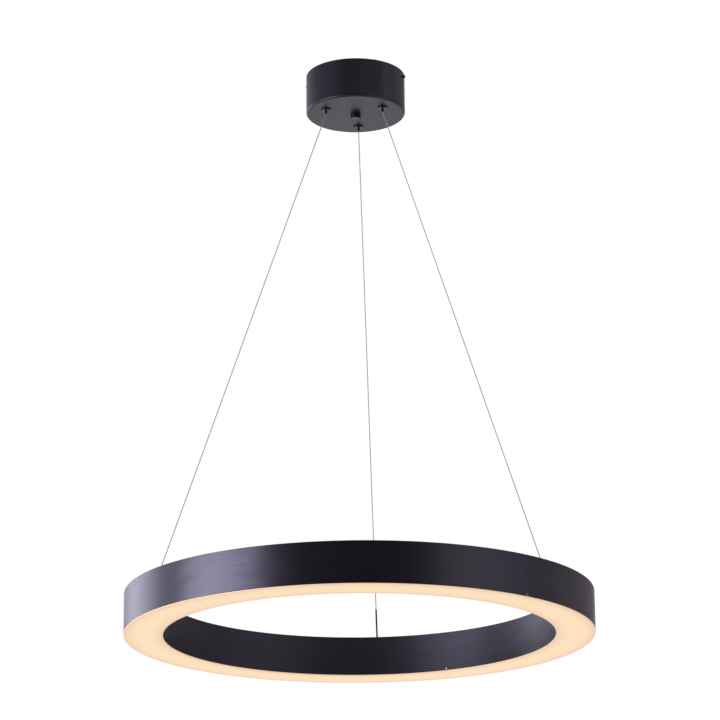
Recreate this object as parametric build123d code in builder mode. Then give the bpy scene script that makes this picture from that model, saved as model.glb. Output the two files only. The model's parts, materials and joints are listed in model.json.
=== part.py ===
from build123d import *
from math import asin, atan2, cos, degrees, hypot, radians, sin, sqrt, tan
import os

os.makedirs("parts", exist_ok=True)

# Ring pendant light: a black drum canopy on the ceiling, three steel wires held by
# self-locking grippers, and a rolled channel ring with an opal diffuser facing down.
# Millimetres. The origin is on the ceiling at the canopy's centre, +Z is up, and
# +X runs along the ceiling bracket. Everything hangs below z = 0.

# ---------------------------------------------------------------- driving dimensions

# clearances
thread_gap = 0.04          # radial, screw in its tapped hole
hole_gap = 0.15            # radial, screw or stud through a plain hole
slide_gap = 0.1            # radial, gripper nozzle in its guide
seat_gap = 0.3             # between pieces that lie close but don't clamp
screw_stand_out = 1.0      # how far a screw's tip stands out of its thread

# canopy
canopy_radius = 66.3
canopy_height = 54.1
canopy_wall = 1.2
canopy_edge_radius = 2.0

# ring
ring_radius = 300.0
ring_width = 50.0
ring_height = 52.9
ring_wall = 1.4
ring_web = 2.0
ring_corner_chamfer = 0.6
ring_drop = 662.4          # canopy underside down to the ring's top
seat_rib_height = 9.0      # diffuser's face up to the rib its flanges seat against
seat_rib_thickness = 1.5
seat_rib_reach = 2.6

# suspension wires
wire_radius = 0.6
wire_count = 3
wire_phase = 100.0         # first wire, in degrees from the bracket line
gripper_inset = 22.4       # canopy wall to the gripper's axis
wire_tail = 6.0            # wire standing out of the top of a gripper

# cable gripper
flange_lip = 1.4
flange_thickness = 2.0
flange_chamfer = 0.4
nozzle_radius = 1.75
nozzle_reach = 6.7         # canopy underside down to the nozzle's tip
nozzle_bore_gap = 0.25
nozzle_tip_chamfer = 0.4
guide_length = 4.0         # bottom of the flange up to the top of the nozzle's guide
shoulder_thickness = 1.2
jaw_count = 3
jaw_gap = 0.03             # jaws to the wire and to their cone
jaw_height = 5.0
jaw_thickness = 1.8        # wire to the cone at the jaws' lower end
jaw_slot_angle = 14.0      # between one jaw and the next
cone_angle = 8.0
plunger_travel = 2.5
follower_thickness = 1.0
spring_ledge = 0.35
barrel_wall = 1.2
spring_length = 7.0
spring_wire = 0.45
spring_turns = 3
plug_depth = 3.0
plug_cap = 1.0
plug_lip = 0.9
nut_height = 3.5
nut_wall = 2.0             # barrel to the flat of the nut

# centre cap
cap_radius = 6.8
cap_height = 6.6
cap_chamfer = 0.6
cap_stud_radius = 4.0
cap_nut_height = 4.0
cap_nut_wall = 2.5
stud_end = 1.5             # stud standing out of its nut

# ceiling bracket
bracket_thickness = 2.0
strip_width = 20.0
ear_height = 13.0
bend_radius = 1.0
cover_gap = 0.3            # ear corner to the inside of the canopy
side_screw_drop = 6.6      # ceiling to the side screws' axis
side_screw_radius = 1.5
side_screw_head_radius = 2.1
side_screw_head_height = 2.6
ceiling_slot_length = 18.0
ceiling_slot_width = 5.2
ceiling_slot_spacing = 76.0
wing_width = 37.0
block_wing_reach = 32.0

# LED driver
driver_strip_gap = 3.0     # edge of the bracket's strip to the driver's side
driver_feed_gap = 2.5      # driver's far side to the feed connector
driver_wing_margin = 3.0   # how far the driver stands out past its wing
driver_wall_gap = 4.0      # driver's outer corners to the inside of the canopy
driver_wire_gap = 4.6      # top of the wire tails up to the driver's bottom
driver_corner_radius = 2.0
driver_end_length = 13.0   # each wiring cover at the driver's ends
driver_end_step = 0.8      # how far the wiring covers stand in from the case
driver_screw_radius = 1.5
driver_screw_length = 8.0
driver_screw_spacing = 22.0

# terminal block
pole_pitch = 12.0
pole_width = 7.4
pole_depth = 17.0
pole_height = 14.0
block_base = 4.0
clamp_side = 5.0
clamp_length = 14.0
clamp_bore_radius = 1.3
clamp_screw_head = 1.8     # radius, and how far the screw stands off its bar
clamp_screw_spacing = 7.0
block_screw_radius = 1.25
block_screw_head = 2.1
block_screw_head_height = 1.6
earth_screw_radius = 2.0
earth_head_radius = 3.4
earth_head_height = 2.4
lug_radius = 4.0
lug_thickness = 0.8
lug_barrel_radius = 1.7
lug_barrel_length = 4.0

# leads
lead_radius = 1.0
lead_insertion = 5.0       # how far a lead reaches into its clamp
lead_bend_share = 0.9      # part of a lead's shorter run that its bend takes up
feed_lead_radius = 1.2
feed_connector_radius = 1.7
feed_connector_length = 9.0
feed_connector_grip = 5.0  # how far the connector reaches down over the wire's tail

# hanger bushes on the ring
bush_head_radius = 5.5
bush_head_height = 3.0
bush_stud_radius = 4.0
bush_nut_height = 4.0
bush_nut_wall = 2.5
plate_length = 40.0
plate_width = 30.0
plate_thickness = 2.0
ferrule_radius = 1.7
ferrule_length = 8.0
sleeve_radius = 1.1
sleeve_height = 40.0

# light source
board_width = 28.0
board_thickness = 1.6
boards_per_span = 2
board_end_gap = 1.2
chips_per_board = 10
chip_length = 5.0
chip_width = 5.0
chip_height = 1.2
socket_length = 8.0
socket_width = 5.0
socket_height = 3.5
socket_side = 10.0         # middle of the board out to its sockets
socket_inset = 1.0         # board's end to its socket
link_width = 2.4           # flat twin link between two sockets
link_thickness = 1.0
ring_feed_radius = 0.8
ring_feed_dip = 4.0        # how far the ring's feed lead dips under the ferrule

# diffuser
diffuser_gap = 0.2
diffuser_face = 1.0
diffuser_flange = 1.6
edge_screw_level = 3.2     # diffuser's face up to the edge screws' axis
edge_screw_radius = 0.8
edge_screw_head_radius = 1.4
edge_screw_head_height = 0.7
edge_screw_count = 3
outer_screw_phase = -12.8  # degrees from a wire
inner_screw_phase = -22.8

# ---------------------------------------------------------------- derived levels

ceiling = 0.0
underside = ceiling - canopy_height
canopy_floor = underside + canopy_wall
canopy_inner_radius = canopy_radius - canopy_wall
ring_top = underside - ring_drop
ring_bottom = ring_top - ring_height
ring_inner_radius = ring_radius - ring_width
ring_middle = ring_radius - ring_width / 2
web_bottom = ring_top - ring_web
wire_angles = [wire_phase + k * 360 / wire_count for k in range(wire_count)]

gripper_circle = canopy_radius - gripper_inset
nozzle_tip = underside - nozzle_reach
guide_top = underside - flange_thickness + guide_length
shoulder_bottom = guide_top + seat_gap
jaw_bottom = shoulder_bottom + shoulder_thickness
jaw_top = jaw_bottom + jaw_height
jaw_bore = wire_radius + jaw_gap
cone_slope = tan(radians(cone_angle))
cone_narrow = wire_radius + jaw_thickness
cone_wide = cone_narrow + (jaw_height + plunger_travel) * cone_slope
cone_top = jaw_top - seat_gap
cone_at_top = cone_narrow + (cone_top - jaw_bottom) * cone_slope
jaw_at_bottom = cone_narrow - jaw_gap
jaw_at_top = jaw_at_bottom + jaw_height * cone_slope
bore_radius = cone_wide + spring_ledge
barrel_radius = bore_radius + barrel_wall
follower_top = jaw_top + follower_thickness
plug_bottom = follower_top + spring_length
barrel_top = plug_bottom + plug_depth
plug_top = barrel_top + plug_cap
tail_top = plug_top + wire_tail
nozzle_bore = wire_radius + nozzle_bore_gap

ear_face = sqrt((canopy_inner_radius - cover_gap) ** 2 - (strip_width / 2) ** 2)
bracket_bottom = ceiling - bracket_thickness
driver_near = strip_width / 2 + driver_strip_gap
driver_far = gripper_circle * sin(radians(wire_phase)) - feed_connector_radius - driver_feed_gap
driver_width = driver_far - driver_near
driver_middle = (driver_near + driver_far) / 2
driver_half_length = sqrt((canopy_inner_radius - driver_wall_gap) ** 2 - driver_far**2)
driver_bottom = tail_top + driver_wire_gap
driver_height = bracket_bottom - driver_bottom
driver_level = (bracket_bottom + driver_bottom) / 2

block_middle = -(strip_width / 2 + block_wing_reach) + pole_depth / 2 + 3 * seat_gap
block_near = block_middle + pole_depth / 2
clamp_level = bracket_bottom - block_base - clamp_side / 2 - seat_gap
pole_places = [-pole_pitch, 0, pole_pitch]
earth_screw_x = pole_places[-1]

bush_top = ring_top + bush_head_height
bush_bottom = web_bottom - plate_thickness - bush_nut_height - stud_end
ferrule_bottom = bush_bottom - ferrule_length
board_bottom = web_bottom - board_thickness
socket_level = board_bottom - socket_height / 2
rib_bottom = ring_bottom + seat_rib_height
rib_top = rib_bottom + seat_rib_thickness
rim_top = ring_bottom + diffuser_face
wall_bottom = rim_top + diffuser_gap


# ---------------------------------------------------------------- small helpers


def save(piece, name):
    """Label a finished piece and write it out."""
    piece.part.label = name
    export_step(piece.part, f"parts/{name}.step")


def on_circle(radius, angle, height=0.0):
    """A point at a radius and an angle in degrees round the canopy's axis."""
    return (radius * cos(radians(angle)), radius * sin(radians(angle)), height)


def upright(place):
    """A drawing plane that stands on a point: its x is +X and its y is +Z."""
    return Plane(origin=place, x_dir=(1, 0, 0), z_dir=(0, -1, 0))


def turned(profile, place):
    """A piece turned round a vertical axis through a point: profile is (radius, height)."""
    with BuildPart() as piece:
        with BuildSketch(upright(place)):
            with BuildLine():
                Polyline(*profile, close=True)
            make_face()
        revolve(axis=Axis(place, (0, 0, 1)))
    return piece


def lead(points, radius):
    """A round lead along two straight runs with a bend nearly as large as they allow."""
    runs = [(Vector(*points[k + 1]) - Vector(*points[k])) for k in range(2)]
    half_turn = radians(runs[0].get_angle(runs[1]) / 2)
    bend = lead_bend_share * min(run.length for run in runs) / tan(half_turn)
    with BuildPart() as piece:
        with BuildLine() as route:
            FilletPolyline(*points, radius=bend)
        with BuildSketch(Plane(origin=route.line @ 0, z_dir=route.line % 0)):
            Circle(radius)
        sweep()
    return piece


# ---------------------------------------------------------------- canopy

gripper_places = [on_circle(gripper_circle, angle) for angle in wire_angles]

# drawn steel drum, open at the ceiling
with BuildPart() as canopy_cover:
    with BuildSketch(Plane.XY.offset(underside)):
        Circle(canopy_radius)
    extrude(amount=canopy_height)
    fillet(canopy_cover.edges().sort_by(Axis.Z)[0], radius=canopy_edge_radius)
    with BuildSketch(Plane.XY.offset(canopy_floor)):
        Circle(canopy_inner_radius)
    extrude(amount=canopy_height - canopy_wall, mode=Mode.SUBTRACT)
    with BuildSketch(Plane.XY.offset(underside)):
        with Locations(*[place[:2] for place in gripper_places]):
            Circle(barrel_radius + hole_gap)
        Circle(cap_stud_radius + hole_gap)
    extrude(amount=canopy_wall, mode=Mode.SUBTRACT)
    with BuildSketch(Plane.YZ.offset(-canopy_radius)):
        with Locations((0, -side_screw_drop)):
            Circle(side_screw_radius + hole_gap)
    extrude(amount=2 * canopy_radius, mode=Mode.SUBTRACT)
save(canopy_cover, "canopy_cover")

# pressed strip with two wings and a turned-down ear at each end
with BuildPart() as ceiling_bracket:
    with BuildSketch(Plane.XZ.offset(-strip_width / 2)):
        with BuildLine():
            Polyline(
                (-ear_face, -ear_height),
                (-ear_face, ceiling),
                (ear_face, ceiling),
                (ear_face, -ear_height),
                (ear_face - bracket_thickness, -ear_height),
                (ear_face - bracket_thickness, bracket_bottom),
                (-ear_face + bracket_thickness, bracket_bottom),
                (-ear_face + bracket_thickness, -ear_height),
                close=True,
            )
        make_face()
    extrude(amount=strip_width)
    bends = ceiling_bracket.edges().filter_by(Axis.Y)
    fillet(bends.group_by(Axis.Z)[-1], radius=bend_radius + bracket_thickness)
    fillet(bends.group_by(Axis.Z)[-2], radius=bend_radius)
    with BuildSketch(Plane.XY.offset(bracket_bottom)):
        with BuildLine():
            Polyline(
                (-wing_width / 2, -strip_width / 2 - block_wing_reach),
                (-wing_width / 2, driver_far - driver_wing_margin),
                (wing_width / 2, driver_far - driver_wing_margin),
                (wing_width / 2, -strip_width / 2 - block_wing_reach),
                close=True,
            )
        make_face()
        fillet(vertices(), radius=bend_radius + bracket_thickness)
    extrude(amount=bracket_thickness)
    with BuildSketch(Plane.XY.offset(bracket_bottom)):
        with GridLocations(ceiling_slot_spacing, 0, 2, 1):
            SlotOverall(ceiling_slot_length, ceiling_slot_width)
        with Locations((earth_screw_x, 0)):
            Circle(earth_screw_radius + thread_gap)
        with Locations((-pole_pitch / 2, block_middle), (pole_pitch / 2, block_middle)):
            Circle(block_screw_radius + thread_gap)
    extrude(amount=bracket_thickness, mode=Mode.SUBTRACT)
    with BuildSketch(Plane.YZ.offset(-ear_face)):
        with Locations((0, -side_screw_drop)):
            Circle(side_screw_radius + thread_gap)
    extrude(amount=2 * ear_face, mode=Mode.SUBTRACT)
    with Locations((0, driver_middle, ceiling)):
        with GridLocations(driver_screw_spacing, 0, 2, 1):
            CounterSinkHole(
                driver_screw_radius + thread_gap,
                2 * driver_screw_radius + thread_gap,
                bracket_thickness,
                90,
            )
save(ceiling_bracket, "ceiling_bracket")

# two cheese-head screws through the canopy's wall into the ears
side_screw_tip = ear_face - bracket_thickness - screw_stand_out
with BuildPart() as side_screws:
    for side in (-1, 1):
        head_plane = Plane(
            origin=(side * canopy_radius, 0, -side_screw_drop), z_dir=(side, 0, 0)
        )
        with BuildSketch(head_plane):
            Circle(side_screw_head_radius)
        extrude(amount=side_screw_head_height)
        with BuildSketch(head_plane):
            Circle(side_screw_radius)
        extrude(amount=side_screw_tip - canopy_radius)
        with BuildSketch(head_plane.offset(side_screw_head_height)):
            Rectangle(2.2 * side_screw_head_radius, 0.3 * side_screw_head_radius)
        extrude(amount=-side_screw_head_height / 3, mode=Mode.SUBTRACT)
save(side_screws, "side_screws")

# ---------------------------------------------------------------- driver and wiring

# moulded case, screwed up against the wing
with BuildPart() as driver_case:
    with BuildSketch(Plane.XY.offset(driver_bottom)):
        with Locations((0, driver_middle)):
            Rectangle(2 * (driver_half_length - driver_end_length), driver_width)
    extrude(amount=driver_height)
    fillet(
        driver_case.edges().filter_by(Axis.X).group_by(Axis.Z)[0],
        radius=driver_corner_radius,
    )
    with Locations((0, driver_middle, bracket_bottom)):
        with GridLocations(driver_screw_spacing, 0, 2, 1):
            Hole(driver_screw_radius + thread_gap, depth=driver_screw_length)
save(driver_case, "driver_case")

# wiring covers on the driver's two ends
with BuildPart() as driver_ends:
    for side in (-1, 1):
        with BuildSketch(Plane.XY.offset(driver_bottom + driver_end_step)):
            with Locations((side * (driver_half_length - driver_end_length / 2), driver_middle)):
                Rectangle(driver_end_length, driver_width - 2 * driver_end_step)
        extrude(amount=driver_height - driver_end_step)
    corners = driver_ends.edges().filter_by(Axis.Z)
    fillet(corners.group_by(Axis.X)[0] + corners.group_by(Axis.X)[-1], radius=driver_corner_radius)
save(driver_ends, "driver_ends")

with BuildPart() as driver_screws:
    with BuildSketch(Plane.XZ.offset(-driver_middle)):
        with BuildLine():
            Polyline(
                (driver_screw_spacing / 2, ceiling),
                (driver_screw_spacing / 2 + 2 * driver_screw_radius, ceiling),
                (driver_screw_spacing / 2 + driver_screw_radius, -driver_screw_radius),
                (driver_screw_spacing / 2 + driver_screw_radius, -driver_screw_length),
                (driver_screw_spacing / 2, -driver_screw_length),
                close=True,
            )
        make_face()
    revolve(axis=Axis((driver_screw_spacing / 2, driver_middle, 0), (0, 0, 1)))
    mirror(about=Plane.YZ)
save(driver_screws, "driver_screws")

# three-pole block: a base and a tower for each pole, each with a way through along Y
with BuildPart() as terminal_block:
    with BuildSketch(Plane.XY.offset(bracket_bottom)):
        with Locations((0, block_middle)):
            Rectangle(2 * pole_pitch + pole_width, pole_depth)
    extrude(amount=-block_base)
    with BuildSketch(Plane.XY.offset(bracket_bottom - block_base)):
        with Locations(*[(x, block_middle) for x in pole_places]):
            Rectangle(pole_width, pole_depth)
    extrude(amount=block_base - pole_height)
    fillet(
        terminal_block.edges().filter_by(Axis.Y).group_by(Axis.Z)[0],
        radius=(pole_width - clamp_side) / 2,
    )
    with BuildSketch(Plane.XZ.offset(-block_near)):
        with Locations(*[(x, clamp_level) for x in pole_places]):
            Rectangle(clamp_side + 0.2 * seat_gap, clamp_side + 0.2 * seat_gap)
    extrude(amount=pole_depth, mode=Mode.SUBTRACT)
    with BuildSketch(Plane.XY.offset(bracket_bottom - pole_height)):
        with Locations(*[(x, block_middle) for x in pole_places]):
            SlotCenterToCenter(
                clamp_screw_spacing, 2 * (clamp_screw_head + hole_gap), rotation=90
            )
    extrude(amount=clamp_level - bracket_bottom + pole_height, mode=Mode.SUBTRACT)
    with BuildSketch(Plane.XY.offset(bracket_bottom)):
        with Locations((-pole_pitch / 2, block_middle), (pole_pitch / 2, block_middle)):
            Circle(block_screw_radius + hole_gap)
    extrude(amount=-block_base, mode=Mode.SUBTRACT)
save(terminal_block, "terminal_block")

# brass clamp bars in the towers
with BuildPart() as terminal_clamps:
    with BuildSketch(Plane.XZ.offset(-block_middle - clamp_length / 2)):
        with Locations(*[(x, clamp_level) for x in pole_places]):
            Rectangle(clamp_side, clamp_side)
            Circle(clamp_bore_radius, mode=Mode.SUBTRACT)
    extrude(amount=clamp_length)
save(terminal_clamps, "terminal_clamps")

# two clamp screws a pole, standing in the tower's mouths
clamp_underside = clamp_level - clamp_side / 2
with BuildPart() as terminal_screws:
    with BuildSketch(Plane.XY.offset(clamp_underside)):
        for x in pole_places:
            with Locations((x, block_middle)):
                with GridLocations(0, clamp_screw_spacing, 1, 2):
                    Circle(clamp_screw_head)
    extrude(amount=-clamp_screw_head)
save(terminal_screws, "terminal_screws")

# two screws hold the block to its wing
with BuildPart() as block_screws:
    with BuildSketch(Plane.XY.offset(ceiling)):
        with Locations((-pole_pitch / 2, block_middle), (pole_pitch / 2, block_middle)):
            Circle(block_screw_radius)
    extrude(amount=-bracket_thickness - block_base)
    with BuildSketch(Plane.XY.offset(bracket_bottom - block_base)):
        with Locations((-pole_pitch / 2, block_middle), (pole_pitch / 2, block_middle)):
            Circle(block_screw_head)
    extrude(amount=-block_screw_head_height)
save(block_screws, "block_screws")

# ring lug under the earth screw, with its barrel turned down clear of the screw's head
lug_barrel_y = -earth_head_radius - seat_gap - lug_barrel_radius
lug_end = bracket_bottom - lug_barrel_length
with BuildPart() as earth_lug:
    with BuildSketch(Plane.XY.offset(bracket_bottom)):
        with Locations((earth_screw_x, 0)):
            Circle(lug_radius)
        with Locations((earth_screw_x, lug_barrel_y / 2)):
            Rectangle(2 * lug_barrel_radius, -lug_barrel_y)
        with Locations((earth_screw_x, 0)):
            Circle(earth_screw_radius + hole_gap, mode=Mode.SUBTRACT)
    extrude(amount=-lug_thickness)
    with BuildSketch(Plane.XY.offset(bracket_bottom)):
        with Locations((earth_screw_x, lug_barrel_y)):
            Circle(lug_barrel_radius)
    extrude(amount=-lug_barrel_length)
save(earth_lug, "earth_lug")

with BuildPart() as earth_screw:
    with BuildSketch(Plane.XY.offset(ceiling)):
        with Locations((earth_screw_x, 0)):
            Circle(earth_screw_radius)
    extrude(amount=-bracket_thickness - lug_thickness)
    with BuildSketch(Plane.XY.offset(bracket_bottom - lug_thickness)):
        with Locations((earth_screw_x, 0)):
            Circle(earth_head_radius)
    extrude(amount=-earth_head_height)
save(earth_screw, "earth_screw")

# live and neutral run straight from the driver's side under the strip into two poles
lead_end = block_near - (pole_depth - clamp_length) / 2 - lead_insertion
with BuildPart() as mains_leads:
    with BuildSketch(Plane.XZ.offset(-driver_near)):
        with Locations(*[(x, clamp_level) for x in pole_places[:2]]):
            Circle(lead_radius)
    extrude(amount=driver_near - lead_end)
save(mains_leads, "mains_leads")

earth_lead = lead(
    [
        (earth_screw_x, lead_end, clamp_level),
        (earth_screw_x, lug_barrel_y, clamp_level),
        (earth_screw_x, lug_barrel_y, lug_end),
    ],
    lead_radius,
)
save(earth_lead, "earth_lead")

# the low-voltage feed drops onto the first wire's tail
feed_x, feed_y, _ = gripper_places[0]
feed_connector_top = tail_top - feed_connector_grip + feed_connector_length
feed_connector = turned(
    [
        (wire_radius + thread_gap, tail_top - feed_connector_grip),
        (feed_connector_radius, tail_top - feed_connector_grip),
        (feed_connector_radius, feed_connector_top),
        (0, feed_connector_top),
        (0, tail_top),
        (wire_radius + thread_gap, tail_top),
    ],
    (feed_x, feed_y, 0),
)
save(feed_connector, "feed_connector")

feed_lead = lead(
    [
        (feed_x, driver_far, driver_level),
        (feed_x, feed_y, driver_level),
        (feed_x, feed_y, feed_connector_top),
    ],
    feed_lead_radius,
)
save(feed_lead, "feed_lead")

# ---------------------------------------------------------------- cable grippers

# Each wire runs up through a nozzle, between three wedge jaws and out of a screwed plug.
# A spring pushes the jaws down through a follower, so that the load wedges them into the
# narrowing cone. Pushing the nozzle up lifts the jaws and frees the wire.
with BuildPart() as gripper_bodies:
    for place in gripper_places:
        with BuildSketch(upright((place[0], place[1], 0))):
            with BuildLine():
                Polyline(
                    (nozzle_radius + slide_gap, underside - flange_thickness),
                    (barrel_radius + flange_lip - flange_chamfer, underside - flange_thickness),
                    (barrel_radius + flange_lip, underside - flange_thickness + flange_chamfer),
                    (barrel_radius + flange_lip, underside),
                    (barrel_radius, underside),
                    (barrel_radius, barrel_top),
                    (bore_radius, barrel_top),
                    (bore_radius, cone_top),
                    (cone_at_top, cone_top),
                    (cone_narrow, jaw_bottom),
                    (cone_narrow, guide_top),
                    (nozzle_radius + slide_gap, guide_top),
                    close=True,
                )
            make_face()
        revolve(axis=Axis(place, (0, 0, 1)))
save(gripper_bodies, "gripper_bodies")

spring_radius = bore_radius - 2 * seat_gap - spring_wire / 2
spring_pitch = (spring_length - spring_wire) / spring_turns
for number, place in enumerate(gripper_places, start=1):
    gripper_nozzle = turned(
        [
            (nozzle_bore, nozzle_tip),
            (nozzle_radius - nozzle_tip_chamfer, nozzle_tip),
            (nozzle_radius, nozzle_tip + nozzle_tip_chamfer),
            (nozzle_radius, shoulder_bottom),
            (cone_narrow - slide_gap, shoulder_bottom),
            (cone_narrow - slide_gap, jaw_bottom),
            (nozzle_bore, jaw_bottom),
        ],
        place,
    )
    save(gripper_nozzle, f"gripper_nozzle_{number}")

    with BuildPart() as gripper_jaws:
        with BuildSketch(upright(place)):
            with BuildLine():
                Polyline(
                    (jaw_bore, jaw_bottom),
                    (jaw_at_bottom, jaw_bottom),
                    (jaw_at_top, jaw_top),
                    (jaw_bore, jaw_top),
                    close=True,
                )
            make_face()
        revolve(axis=Axis(place, (0, 0, 1)))
        slot_width = 2 * jaw_bore * sin(radians(jaw_slot_angle))
        for k in range(jaw_count):
            with BuildSketch(Plane(origin=(place[0], place[1], jaw_bottom))):
                with Locations(Location(on_circle(0, 0), (0, 0, k * 360 / jaw_count))):
                    with Locations((jaw_at_top, 0)):
                        Rectangle(2 * jaw_at_top, slot_width)
            extrude(amount=jaw_height, mode=Mode.SUBTRACT)
    save(gripper_jaws, f"gripper_jaws_{number}")

    gripper_follower = turned(
        [
            (nozzle_bore, jaw_top),
            (bore_radius - seat_gap, jaw_top),
            (bore_radius - seat_gap, follower_top),
            (nozzle_bore, follower_top),
        ],
        place,
    )
    save(gripper_follower, f"gripper_follower_{number}")

    # each half turn of the spring is an arc that climbs by half the pitch
    with BuildPart() as gripper_spring:
        with BuildLine(Plane(origin=(place[0], place[1], follower_top + spring_wire / 2))) as coil:
            for half in range(2 * spring_turns):
                start_angle = 180 * half
                ThreePointArc(
                    on_circle(spring_radius, start_angle, spring_pitch * half / 2),
                    on_circle(spring_radius, start_angle + 90, spring_pitch * (half + 0.5) / 2),
                    on_circle(spring_radius, start_angle + 180, spring_pitch * (half + 1) / 2),
                )
        with BuildSketch(Plane(origin=coil.line @ 0, z_dir=coil.line % 0)):
            Rectangle(spring_wire, spring_wire)
        sweep()
    save(gripper_spring, f"gripper_spring_{number}")

# plugs that close the barrels and carry the springs
with BuildPart() as gripper_plugs:
    with BuildSketch(Plane.XY.offset(plug_bottom)):
        with Locations(*[place[:2] for place in gripper_places]):
            Circle(bore_radius - thread_gap)
            Circle(nozzle_bore, mode=Mode.SUBTRACT)
    extrude(amount=plug_depth)
    with BuildSketch(Plane.XY.offset(barrel_top)):
        with Locations(*[place[:2] for place in gripper_places]):
            Circle(bore_radius + plug_lip)
            Circle(nozzle_bore, mode=Mode.SUBTRACT)
    extrude(amount=plug_cap)
save(gripper_plugs, "gripper_plugs")

# the held stretch of each wire, from the nozzle's tip to its tail inside the canopy
with BuildPart() as wire_tails:
    with BuildSketch(Plane.XY.offset(nozzle_tip)):
        with Locations(*[place[:2] for place in gripper_places]):
            Circle(wire_radius)
    extrude(amount=tail_top - nozzle_tip)
save(wire_tails, "wire_tails")

with BuildPart() as gripper_nuts:
    with BuildSketch(Plane.XY.offset(canopy_floor)):
        with Locations(*[place[:2] for place in gripper_places]):
            RegularPolygon(barrel_radius + nut_wall, 6, major_radius=False)
            Circle(barrel_radius + thread_gap, mode=Mode.SUBTRACT)
    extrude(amount=nut_height)
save(gripper_nuts, "gripper_nuts")

# ---------------------------------------------------------------- centre cap

# turned cap that closes the canopy's middle hole, with its stud and nut
cap_stud_top = canopy_floor + cap_nut_height + stud_end
with BuildPart() as centre_cap:
    with BuildSketch(Plane.XY.offset(underside)):
        Circle(cap_radius)
    extrude(amount=-cap_height)
    chamfer(centre_cap.edges().sort_by(Axis.Z)[0], length=cap_chamfer)
    with BuildSketch(Plane.XY.offset(underside)):
        Circle(cap_stud_radius)
    extrude(amount=cap_stud_top - underside)
save(centre_cap, "centre_cap")

with BuildPart() as centre_cap_nut:
    with BuildSketch(Plane.XY.offset(canopy_floor)):
        RegularPolygon(cap_stud_radius + cap_nut_wall, 6, major_radius=False)
        Circle(cap_stud_radius + thread_gap, mode=Mode.SUBTRACT)
    extrude(amount=cap_nut_height)
save(centre_cap_nut, "centre_cap_nut")

# ---------------------------------------------------------------- suspension wires

for number, angle in enumerate(wire_angles, start=1):
    top = Vector(*on_circle(gripper_circle, angle, nozzle_tip))
    foot = Vector(*on_circle(ring_middle, angle, bush_top))
    run = foot - top
    # cut level at both ends, where the wire enters the nozzle and the bush
    spare = 4 * wire_radius
    with BuildPart() as suspension_wire:
        with BuildSketch(Plane(origin=top - run.normalized() * spare, z_dir=run)):
            Circle(wire_radius)
        extrude(amount=run.length + 2 * spare)
        split(bisect_by=Plane.XY.offset(nozzle_tip), keep=Keep.BOTTOM)
        split(bisect_by=Plane.XY.offset(bush_top), keep=Keep.TOP)
    save(suspension_wire, f"suspension_wire_{number}")

    if number == 1:
        # insulating sleeve round the foot of the wire that feeds the ring
        with BuildPart() as feed_sleeve:
            with BuildSketch(Plane(origin=foot + run.normalized() * spare, z_dir=-run)):
                Circle(sleeve_radius)
                Circle(wire_radius + thread_gap, mode=Mode.SUBTRACT)
            extrude(amount=sleeve_height + spare)
            split(bisect_by=Plane.XY.offset(bush_top), keep=Keep.TOP)
        save(feed_sleeve, "feed_sleeve")

# ---------------------------------------------------------------- ring

hanger_places = [on_circle(ring_middle, angle) for angle in wire_angles]
plate_half_angle = degrees(asin((plate_length / 2 + seat_gap) / (ring_middle - plate_width / 2)))
board_span = 360 / wire_count - 2 * plate_half_angle
board_gap_angle = degrees(board_end_gap / ring_middle)
board_angle = (board_span - (boards_per_span - 1) * board_gap_angle) / boards_per_span
board_starts = [
    angle + plate_half_angle + k * (board_angle + board_gap_angle)
    for angle in wire_angles
    for k in range(boards_per_span)
]
outer_screw_angles = [
    wire_phase + outer_screw_phase + k * 360 / edge_screw_count for k in range(edge_screw_count)
]
inner_screw_angles = [
    wire_phase + inner_screw_phase + k * 360 / edge_screw_count for k in range(edge_screw_count)
]

# rolled channel, open below, with a rib on each wall that the diffuser seats against
outer_wall_face = ring_radius - ring_wall
inner_wall_face = ring_inner_radius + ring_wall
with BuildPart() as ring_housing:
    with BuildSketch(Plane.XZ) as channel:
        with BuildLine():
            Polyline(
                (ring_radius, wall_bottom),
                (ring_radius, ring_top),
                (ring_inner_radius, ring_top),
                (ring_inner_radius, wall_bottom),
                (inner_wall_face, wall_bottom),
                (inner_wall_face, rib_bottom),
                (inner_wall_face + seat_rib_reach, rib_bottom),
                (inner_wall_face + seat_rib_reach, rib_top),
                (inner_wall_face, rib_top),
                (inner_wall_face, web_bottom),
                (outer_wall_face, web_bottom),
                (outer_wall_face, rib_top),
                (outer_wall_face - seat_rib_reach, rib_top),
                (outer_wall_face - seat_rib_reach, rib_bottom),
                (outer_wall_face, rib_bottom),
                (outer_wall_face, wall_bottom),
                close=True,
            )
        make_face()
        chamfer(channel.vertices().group_by(Axis.Y)[-1], length=ring_corner_chamfer)
    revolve(axis=Axis.Z)
    with BuildSketch(Plane.XY.offset(web_bottom)):
        with Locations(*[place[:2] for place in hanger_places]):
            Circle(bush_stud_radius + hole_gap)
    extrude(amount=ring_web, mode=Mode.SUBTRACT)
    for angle in outer_screw_angles:
        with BuildSketch(
            Plane(
                origin=on_circle(outer_wall_face - ring_wall, angle, ring_bottom + edge_screw_level),
                z_dir=on_circle(1, angle),
            )
        ):
            Circle(edge_screw_radius + thread_gap)
        extrude(amount=3 * ring_wall, mode=Mode.SUBTRACT)
    for angle in inner_screw_angles:
        with BuildSketch(
            Plane(
                origin=on_circle(ring_inner_radius - ring_wall, angle, ring_bottom + edge_screw_level),
                z_dir=on_circle(1, angle),
            )
        ):
            Circle(edge_screw_radius + thread_gap)
        extrude(amount=3 * ring_wall, mode=Mode.SUBTRACT)
save(ring_housing, "ring_housing")

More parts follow.
